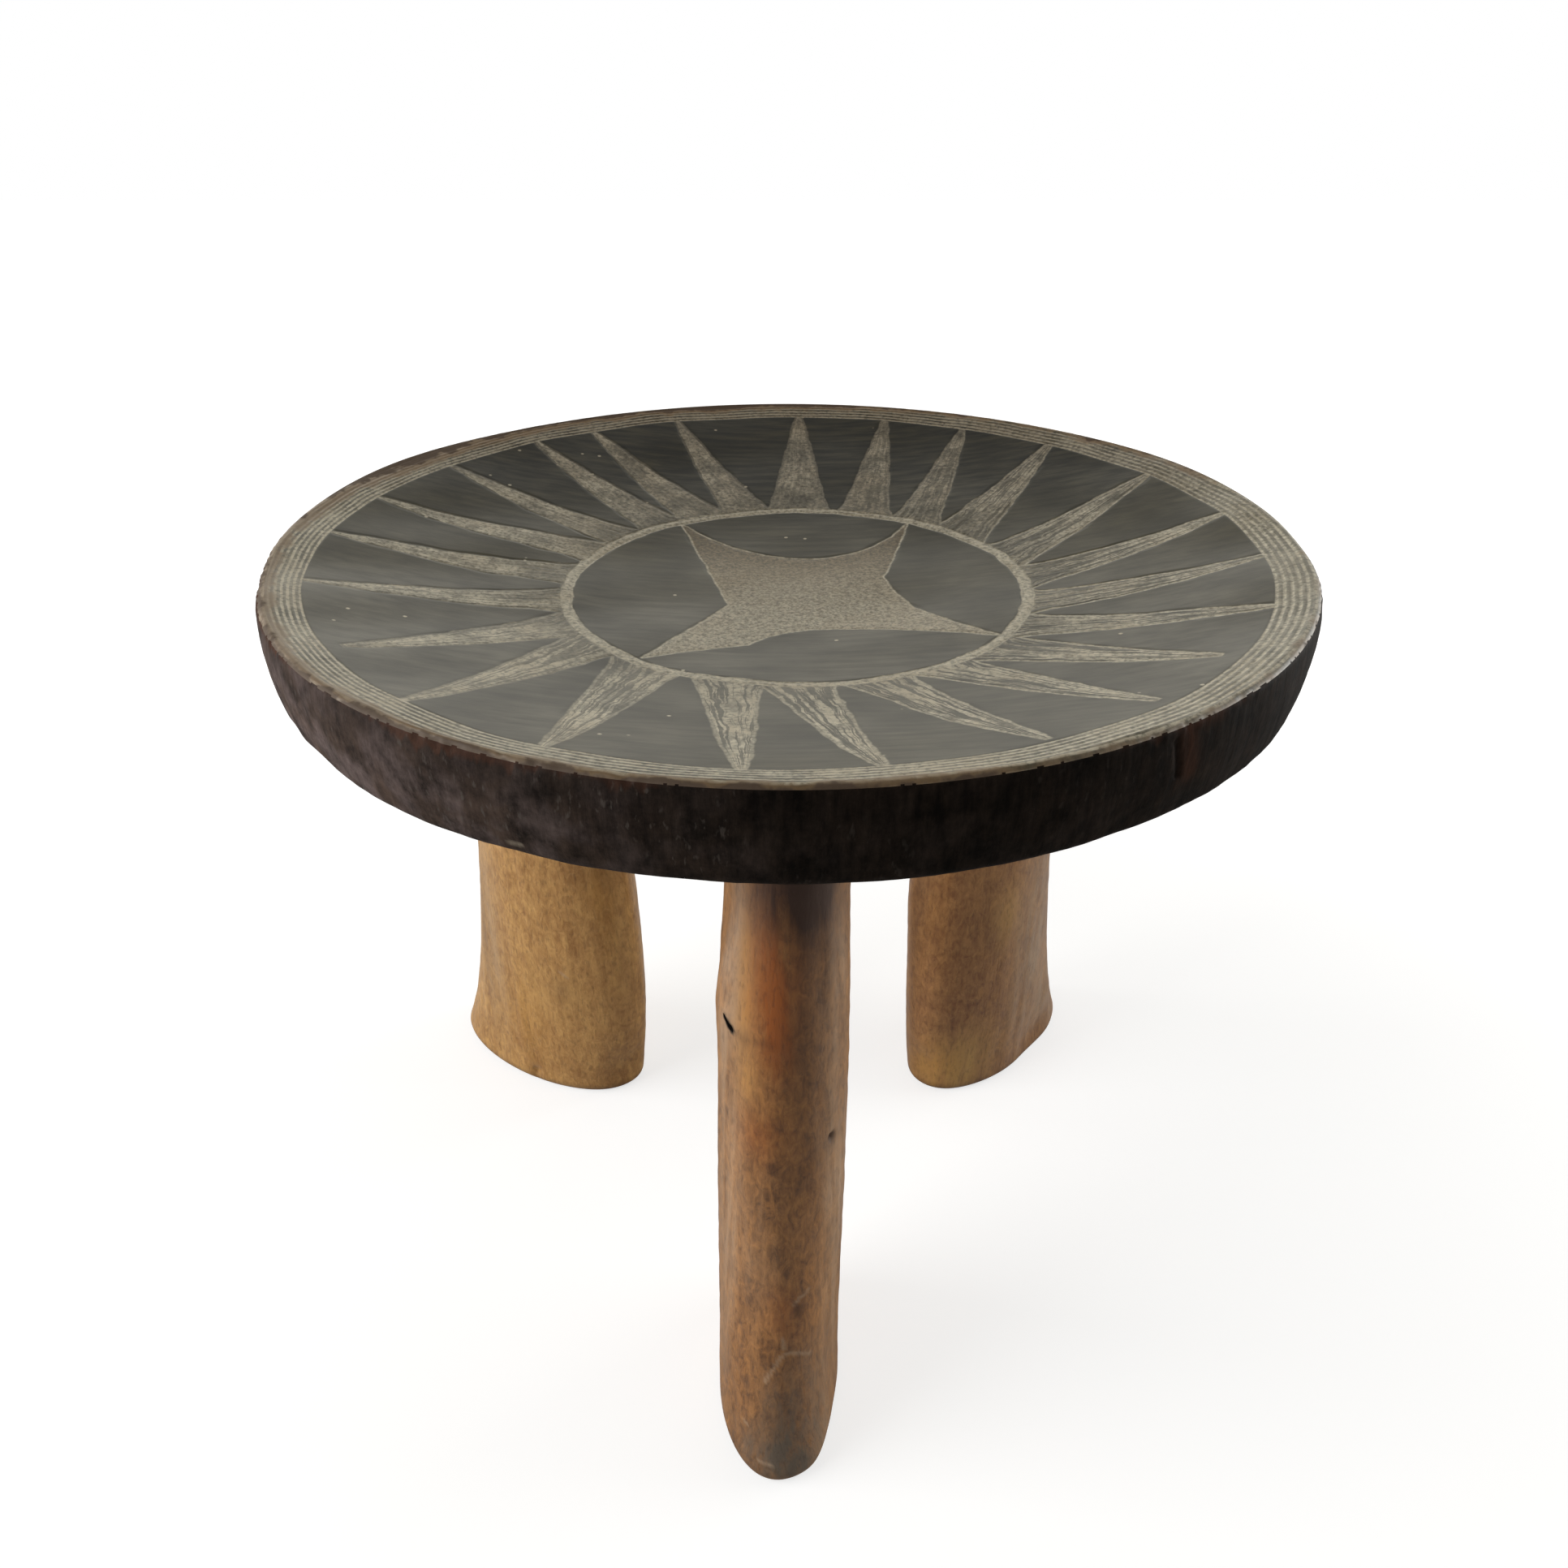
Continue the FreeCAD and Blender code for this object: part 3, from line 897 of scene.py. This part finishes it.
# The split's near-black is painted shade inside the crack
for kind, tint in (("scar", "4a2c1d"), ("nick", "8a7f70"), ("split", "050403")):
    share = add("Math", [stored[kind], noise["fibre"]], operation="MULTIPLY", use_clamp=True)
    layers.append((share, colour(tint)))
for share, tint in layers:
    rim_colour = add("Mix", {0: share, 6: rim_colour, 7: tint}, **as_colour)
relief = add("Math", [noise["grit"], 0.4, noise["fibre"]], operation="MULTIPLY_ADD")
bump = add("Bump", {"Height": relief, "Strength": 0.5, "Distance": 0.4 * MM})
dull = {"Roughness": 0.6, "IOR": 1.5, "Specular IOR Level": 0.03}
add("OutputMaterial", [add("BsdfPrincipled", {"Base Color": rim_colour, "Normal": bump, **dull})])

seat.data.materials.clear()
seat.data.materials.append(seat_wood)
seat.data.materials.append(rim_wood)
face_sides = np.array([min(run[corner] for corner in face.vertices) > 0.0 for face in seat.data.polygons])
seat.data.polygons.foreach_set("material_index", face_sides.astype(np.int32))
print(f"rim finish on {face_sides.sum()} of {len(face_sides)} faces")

# %% [markdown]
# The legs are oval in section, lean a little to one side and flare at the foot. As with the
# seat, the solid is felt out with rays, here level by level from the leg's own middle line,
# which gives a clean grid that can be worked further. The front leg's slit is too sharp for a
# grid, so two thin blades cut it out. Knife facets, soft hollows and swellings, a notch, a knot
# that is a shallow pit, and scratches then move the grid in and out. Marks are given as picture
# points again. A slit or a scratch runs through its points; a zone has a middle, a half width
# and a half height in mm, and an amount, which for a hollow is its depth in mm.

# %% Slits and scratches
slits = {
    "front": ((((894, 1246), (903, 1272)), 0.8, 4.0), (((898, 1259), (903, 1271)), 1.15, 4.0)),
    "left": (),
    "right": (),
}
scratches = {
    "front": (
        ((942, 1703), (952, 1688), (962, 1672), (972, 1666), (985, 1667), (999, 1667)),
        ((966, 1662), (965, 1650)),
        ((979, 1607), (988, 1597), (998, 1589)),
        ((935, 1801), (950, 1808)),
        ((916, 1752), (921, 1757)),
    ),
    "left": (((690, 1198), (698, 1204)),),
    "right": (),
}
print("slits and scratches:", {name: len(slits[name]) + len(scratches[name]) for name in leg_names})

# %% Stains, painted shade, tints and hollows
zones = {
    # The front leg's first three spots and the left leg's second darken the tops just under the seat: partly
    # stain, partly painted shade
    "stain_and_shade": {
        "front": (
            ((985, 1092), 17, 22, 0.95), ((964, 1102), 12, 17, 0.4), ((1020, 1102), 10, 20, 0.5),
            ((1010, 1200), 10, 36, 0.28), ((1005, 1320), 8, 40, 0.2), ((985, 1320), 6, 24, 0.35),
            ((1000, 1440), 7, 14, 0.4), ((932, 1284), 4, 2, 0.35), ((914, 1281), 3, 2, 0.45),
            ((948, 1287), 3, 2, 0.25), ((983, 1616), 2, 4, 0.8), ((1025, 1401), 2.4, 2.2, 1.3),
        ),
        "left": (((690, 1220), 5, 7, 0.35), ((745, 1075), 10, 10, 0.3), ((598, 1150), 4, 60, 0.45)),
        "right": (((1215, 1150), 16, 24, 0.12), ((1245, 1240), 14, 26, 0.1), ((1128, 1150), 5, 70, 0.5)),
    },
    "warm": {
        "front": (
            ((953, 1185), 7, 24, 0.95), ((948, 1250), 6, 16, 0.6), ((962, 1300), 5, 14, 0.5),
            ((935, 1400), 8, 10, 0.5), ((965, 1620), 6, 12, 0.4),
        ),
        "left": (((650, 1260), 14, 24, 0.4), ((740, 1090), 10, 14, 0.5)),
        "right": (((1140, 1130), 5, 40, 0.3), ((1150, 1310), 12, 12, 0.5)),
    },
    "gold": {
        "front": (((920, 1250), 5, 24, 0.7), ((914, 1170), 4, 14, 0.4), ((915, 1330), 6, 12, 0.5)),
        "left": (((690, 1230), 16, 16, 0.5), ((768, 1180), 6, 40, 0.4)),
        "right": (((1165, 1325), 20, 20, 0.85), ((1192, 1296), 14, 18, 0.45), ((1240, 1130), 8, 18, 0.5)),
    },
    # Pale along the legs' edges is partly wear and partly painted highlight for the sheen there; at the front
    # foot it is wear
    "pale": {
        "front": (
            ((896, 1500), 9, 90, 0.5), ((1030, 1480), 10, 90, 0.7), ((1012, 1745), 9, 28, 0.5),
            ((985, 1800), 18, 10, 0.3), ((898, 1200), 8, 44, 0.6), ((1036, 1180), 7, 30, 0.4),
            ((930, 1560), 10, 40, 0.2),
        ),
        "left": (((606, 1150), 10, 60, 0.5),),
        "right": (((1274, 1150), 14, 60, 0.6), ((1284, 1228), 12, 18, 0.4)),
    },
    # Grey dust on the front toe; the grey on the right leg's edge is painted reflection
    "dusty": {
        "front": (((985, 1748), 16, 26, 0.75), ((962, 1806), 22, 12, 0.75)),
        "left": (),
        "right": (((1292, 1225), 12, 20, 0.4),),
    },
    "hollow": {
        "front": (
            ((889, 1108), 15, 25, 3.9), ((1038, 1108), 8, 18, 1.3), ((1024, 1650), 10, 36, 1.9),
            ((888, 1232), 8, 16, -1.3), ((1000, 1790), 9, 8, -2.2), ((1025, 1401), 1.8, 1.8, 1.4),
        ),
        "left": (((774, 1314), 10, 12, 2.8), ((662, 1321), 2.5, 3, 1.9)),
        "right": (
            ((1270, 1278), 14, 16, 2.2), ((1282, 1264), 7, 8, 1.2), ((1288, 1218), 7, 8, -1.4),
            ((1136, 1316), 10, 12, 2.9), ((1128, 1092), 9, 30, -3.2),
        ),
    },
}
print("zones:", {kind: sum(len(spots[name]) for name in leg_names) for kind, spots in zones.items()})

# %% Feel out a leg
leg_turn = 220
leg_step = 1.2
foot_levels = (0.0, 0.15, 0.4, 0.8, 1.3, 1.9, 2.6, 3.5, 4.5)
neck_half, neck_gap = 34.0, 1.0
just_above_floor = 0.05
evening_rounds = 5
turn = np.arange(leg_turn) * 2 * math.pi / leg_turn
outwards = np.stack((np.cos(turn), np.sin(turn), 0 * turn), axis=1)


def rounded(distances, levels):
    """Evens out the flats that a solid's faces leave, round the leg and, above the foot, along it."""
    for _ in range(evening_rounds):
        distances = (np.roll(distances, 1, axis=1) + 2 * distances + np.roll(distances, -1, axis=1)) / 4
        padded = np.pad(distances, ((1, 1), (0, 0)), mode="edge")
        evened = (padded[:-2] + 2 * distances + padded[2:]) / 4
        distances = np.where(levels[:, None] > foot_levels[-1] + 2, evened, distances)
    return distances


def feel_leg(name):
    """The side of a leg as levels of points, from the floor to just under the seat."""
    solid = surface_of(f"{name}_leg")
    corners = positions(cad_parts[f"{name}_leg"].data)
    sole = corners[corners[:, 2] < just_above_floor][:, :2]
    sole_middle = (sole.min(axis=0) + sole.max(axis=0)) / 2
    neck_level = float(belly.height(np.linalg.norm(tenon_axes[name]) - neck_half)) - neck_gap
    count = round((neck_level - foot_levels[-1]) / leg_step)
    levels = np.concatenate((foot_levels, np.linspace(foot_levels[-1], neck_level, count)[1:]))
    middles = sole_middle + (tenon_axes[name] - sole_middle) * levels[:, None] / neck_level
    middles = np.column_stack((middles, levels))
    starts = np.maximum(middles, (-far_away, -far_away, just_above_floor))
    distances = np.array([[reach(solid, start, out) for out in outwards] for start in starts])
    side = middles[:, None] + rounded(distances, levels)[:, :, None] * outwards
    return side, sole_middle, neck_level


sides, middle_lines = {}, {}
for name in leg_names:
    sides[name], *middle_lines[name] = feel_leg(name)
    print(f"{name} leg: {len(sides[name])} levels, neck at {middle_lines[name][1]:.1f} mm")

# %% Rings of a leg
socket_clearance = 0.15
seat_gap = 0.03


def under_seat(spots):
    """Points just below the belly, over the given places."""
    return np.column_stack((spots, belly.height(np.hypot(spots[:, 0], spots[:, 1])) - seat_gap))


def leg_rings(name, side):
    """Rings from the tenon's top down to the middle of the sole."""
    axis, top = tenon_axes[name], tenon_tops[name]
    neck = side[-1]
    shoulder = under_seat(neck[:, :2])[:, 2]
    tenon = axis + (socket_radius - socket_clearance) * outwards[:, :2]
    root = under_seat(tenon)[:, 2]
    rings = [np.array(((*axis, top),))]
    for share in (1.0, 0.5, 0.0):
        rings.append(np.column_stack((tenon, root + share * (top - root))))
    for share in (0.33, 0.67):
        rings.append(under_seat(tenon + share * (neck[:, :2] - tenon)))
    for share in np.linspace(1, 0, 10, endpoint=False):
        rings.append(np.column_stack((neck[:, :2], neck[:, 2] + share * (shoulder - neck[:, 2]))))
    rings += list(side[::-1])
    middle = side[0].mean(axis=0)
    for share in (0.7, 0.35):
        rings.append(middle + share * (side[0] - middle))
    return rings + [middle[None]]


print(f"front leg: {len(leg_rings('front', sides['front']))} rings")

# %% Blades for the slits
blade_sides = 24


def slit_frame(name, ends):
    """A slit's middle on the wood, half its length as a vector, and the way out of the wood."""
    solid = surface_of(f"{name}_leg")
    start, end = (on_wood(solid, pixel) for pixel in ends)
    middle = (start + end) / 2
    outward = np.array(solid.find_nearest(Vector(middle) * MM)[1])
    half = (end - start) / 2
    return middle, half - (half @ outward) * outward, outward


def slit_cutter(name, ends, half_width, depth):
    """A lens-shaped blade that stands in the wood, thinner towards its foot."""
    middle, half, outward = slit_frame(name, ends)
    side = np.cross(outward, half) / np.linalg.norm(half)
    turn = np.arange(blade_sides) * 2 * math.pi / blade_sides
    rings = []
    for level, breadth in ((2.0, half_width), (-depth, 0.4 * half_width)):
        lens_shape = np.cos(turn)[:, None] * half + breadth * np.sin(turn)[:, None] * side
        rings.append(middle + level * outward + lens_shape)
    tips = [ring.mean(axis=0)[None] for ring in rings]
    return add_to_scene("blade", closed_mesh("blade", [tips[0], *rings, tips[1]]))


print("blades:", {name: len(slits[name]) for name in leg_names})

# %% Build the legs
legs = {}
for name in leg_names:
    leg = add_to_scene(f"carved_{name}_leg", closed_mesh(f"carved_{name}_leg", leg_rings(name, sides[name])))
    slit = add_to_scene("slit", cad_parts[f"{name}_wedge"].data.copy())
    cut_away(leg, slit)
    for ends, half_width, depth in slits[name]:
        cut_away(leg, slit_cutter(name, ends, half_width, depth))
    leg.data.polygons.foreach_set("use_smooth", np.ones(len(leg.data.polygons), bool))
    legs[name] = leg
    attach(leg, "root")
    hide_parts(f"{name}_leg")
    print(f"{name} leg: {len(leg.data.polygons)} faces")

# %% How strongly a leg is marked
scratch_half = 0.9


def leg_marks(name, places):
    """How strongly each place is marked, for every kind of mark."""
    solid = surface_of(f"{name}_leg")
    marks = {kind: np.zeros(len(places)) for kind in ("crack_shade", "scratch", *zones)}
    for ends, half_width, depth in slits[name]:
        middle, half, outward = slit_frame(name, ends)
        height = (places - middle) @ outward
        flat = places - height[:, None] * outward
        offset = near_line(flat, np.array((middle - 0.6 * half, middle + 0.6 * half)))
        here = smooth_step(-1.5 * half_width, -0.95 * half_width, -offset) * (np.abs(height) < depth + 1)
        marks["crack_shade"] = np.maximum(marks["crack_shade"], here)
    for line in scratches[name]:
        offset = near_line(places, np.array([on_wood(solid, pixel) for pixel in line]))
        here = groove(np.minimum(offset, scratch_half), scratch_half)
        marks["scratch"] = np.maximum(marks["scratch"], here)
    for kind, spots in zones.items():
        for pixel, half_width, half_height, amount in spots[name]:
            offset = (places - on_wood(solid, pixel)) / (half_width, half_width, half_height)
            marks[kind] += amount * np.exp(-(offset**2).sum(axis=1))
    return marks


print("kinds of mark:", ["crack_shade", "scratch", *zones])

# %% Carve the legs
scratch_depth = 0.15
facet_size, facet_length = 0.22, 26.0
ridge_size, ridge_length = 0.08, 9.0
dent_size, dent_length = 0.05, 9.0
sharp_edge = math.radians(40)


def carve_leg(name, seed):
    """Moves the side of a leg in and out as a knife would, and keeps its marks for the finish."""
    mesh = legs[name].data
    places = positions(mesh)
    height = places[:, 2]
    sole_middle, neck_level = middle_lines[name]
    middles = sole_middle + (tenon_axes[name] - sole_middle) * height[:, None] / neck_level
    away = places[:, :2] - middles
    away /= np.maximum(np.linalg.norm(away, axis=1), 1.0)[:, None]
    along = places * (1.0, 1.0, 0.12)
    facet = facet_size * ripples(along, facet_length, seed)
    facet += ridge_size * ripples(along, ridge_length, seed + 1)
    dent = dent_size * ripples(places, dent_length, seed + 2)
    fade = smooth_step(0.5, 12, height) * smooth_step(0, 14, neck_level - height)
    marks = leg_marks(name, places)
    cut = marks["hollow"] + scratch_depth * marks["scratch"]
    push = (facet + dent) * fade - cut * smooth_step(0, 3, neck_level - height)
    places[:, :2] += push[:, None] * away
    mesh.vertices.foreach_set("co", (places * MM).astype(np.float32).ravel())
    store(mesh, marks)
    mesh.set_sharp_from_angle(angle=sharp_edge)
    mesh.update()
    return push


for seed, name in enumerate(leg_names):
    push = carve_leg(name, 100 + 10 * seed)
    print(f"{name} leg moves between {push.min():.2f} and {push.max():.2f} mm")

# %% [markdown]
# The legs are the same hard wood with no black on it, shaved with a knife along the grain and
# polished by hands and cloth: brown and satin, with a waxy sheen at the edges, fine upright
# fibre, short dark pores, a swirling mottle and wide soft blotches. Real pores are finer than
# the picture can show, so they are drawn about 1 mm wide. One function makes all of them,
# because only the colours and the sheen differ: the left leg has stayed golden, the front one
# is the brownest, with a dark top just under the seat, partly stain and partly painted shade,
# and a dusty toe, and the right one lies between. Pale streaks along the legs' edges are partly
# wear and partly painted highlight.

# %% Shaved brown wood
def shaved_wood(name, light, dark, sheen, gleam, tints, seed):
    """Wood shaved along its grain and polished by use: streaks along Z, pores, blotches, marks."""
    material, add = blank_material(name)
    place = add("TexCoord", output="Object")
    shifted = add("VectorMath", [place, (seed, seed, seed)], operation="ADD")
    noise = {}
    for kind, size, squash, detail, roughness, swirl in (
        ("streak", 5.0, 0.1, 5, 0.6, 0.0), ("fine", 1.3, 0.1, 3, 0.5, 0.0), ("pore", 1.2, 0.35, 2, 0.5, 0.0),
        ("blotch", 20, 1.0, 4, 0.6, 0.0), ("mottle", 3.4, 0.55, 4, 0.7, 0.8),
    ):
        drawn_out = add("VectorMath", [shifted, (1.0, 1.0, squash)], operation="MULTIPLY")
        look = {"Vector": drawn_out, "Scale": scale_of(size), "Detail": detail}
        noise[kind] = add("TexNoise", {**look, "Roughness": roughness, "Distortion": swirl})
    stored = {}
    for kind in ("stain_and_shade", "scratch", "crack_shade", *tints):
        stored[kind] = add("Attribute", output="Fac", attribute_name=kind)
    tone = -0.92
    for kind, weight in (("streak", 0.5), ("fine", 0.3), ("mottle", 1.45), ("blotch", 0.6)):
        tone = add("Math", [noise[kind], weight, tone], operation="MULTIPLY_ADD")
    tone = add("MapRange", [tone, 0.2, 0.82])
    wood = add("Mix", {0: tone, 6: colour(dark), 7: colour(light)}, **as_colour)
    # Tints and stains have soaked in along the grain, and dirt has been trodden into the foot; the dark tops
    # just under the seat are partly stain and partly painted shade
    uneven = add("Math", [noise["streak"], 3.0, -0.7], operation="MULTIPLY_ADD")
    layers = []
    for kind, tint in tints.items():
        layers.append((add("Math", [stored[kind], uneven], operation="MULTIPLY", use_clamp=True), tint))
    pore = add("MapRange", [noise["pore"], 0.52, 0.72, 0.0, 0.3])
    height = add("SeparateXYZ", [place], output="Z")
    dirt_stain_and_shade = add("MapRange", [height, 0.0, 6 * MM, 0.6, 0.0], **soft_ends)
    soaked = add("Math", [noise["streak"], 1.2, 0.2], operation="MULTIPLY_ADD")
    dirt_stain_and_shade = add("Math", [stored["stain_and_shade"], soaked, dirt_stain_and_shade], operation="MULTIPLY_ADD", use_clamp=True)
    hair = add("Math", [stored["scratch"], noise["mottle"]], operation="MULTIPLY")
    # The near-black along the slit is painted shade inside it
    layers += [(pore, "3a2617"), (dirt_stain_and_shade, "341703"), (hair, "b79c80"), (stored["crack_shade"], "140c08")]
    for share, tint in layers:
        wood = add("Mix", {0: share, 6: wood, 7: colour(tint)}, **as_colour)
    relief = add("Math", [noise["fine"], 0.5, noise["streak"]], operation="MULTIPLY_ADD")
    relief = add("Math", [pore, -0.8, relief], operation="MULTIPLY_ADD")
    bump = add("Bump", {"Height": relief, "Strength": 0.35, "Distance": 0.5 * MM})
    gloss = add("MapRange", [noise["blotch"], 0.3, 0.7, 0.3, 0.42])
    gloss = add("Math", [dirt_stain_and_shade, 0.25, gloss], operation="MULTIPLY_ADD")
    gloss = add("Math", [gloss, stored["crack_shade"]], operation="MAXIMUM")
    wax = {"Sheen Weight": sheen, "Sheen Tint": colour(gleam), "Sheen Roughness": 0.35}
    look = {"Base Color": wood, "Roughness": gloss, "IOR": 1.5, "Normal": bump, **wax}
    add("OutputMaterial", [add("BsdfPrincipled", look)])
    return material


print("one finish for all the bare wood")

# %% Finishes of the legs
brown_tints = {"pale": "bb9e82", "gold": "b98544", "warm": "a0561a", "dusty": "6a5c4e"}
golden_tints = {"pale": "a68a6c", "gold": "cda160", "warm": "bf8a42"}
tan_tints = {"pale": "a5927d", "gold": "bd9354", "warm": "b07a30", "dusty": "8a7a6a"}
finishes = {
    "front": ("brown_wood", "shaved_brown_hardwood", "b07840", "5f3b1e", 0.4, "ffcf9f", brown_tints),
    "left": ("golden_wood", "shaved_golden_hardwood", "ce9f60", "9b6d3a", 0.2, "ffffff", golden_tints),
    "right": ("tan_wood", "shaved_tan_hardwood", "b0804e", "7a5132", 0.25, "ffffff", tan_tints),
}
for count, (name, (slot, title, *look)) in enumerate(finishes.items()):
    legs[name].data.materials.clear()
    legs[name].data.materials.append(shaved_wood(title, *look, 0.31 * count))
print("leg finishes:", [finish[1] for finish in finishes.values()])

# %% [markdown]
# A wedge is split from a straight-grained offcut and driven into the slit of a tenon, so its
# grain runs down its length and its faces are raw. It stays hidden in the seat, so the solid
# itself is kept and takes a paler cut of the same wood, without the sheen.

# %% Wedges
wedge_wood = shaved_wood("split_pale_hardwood", "c2a071", "94703f", 0.0, "ffffff", {}, 0.9)
for name in leg_names:
    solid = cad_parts[f"{name}_wedge"]
    solid.data.materials.clear()
    solid.data.materials.append(wedge_wood)
print("wedges keep their solids")
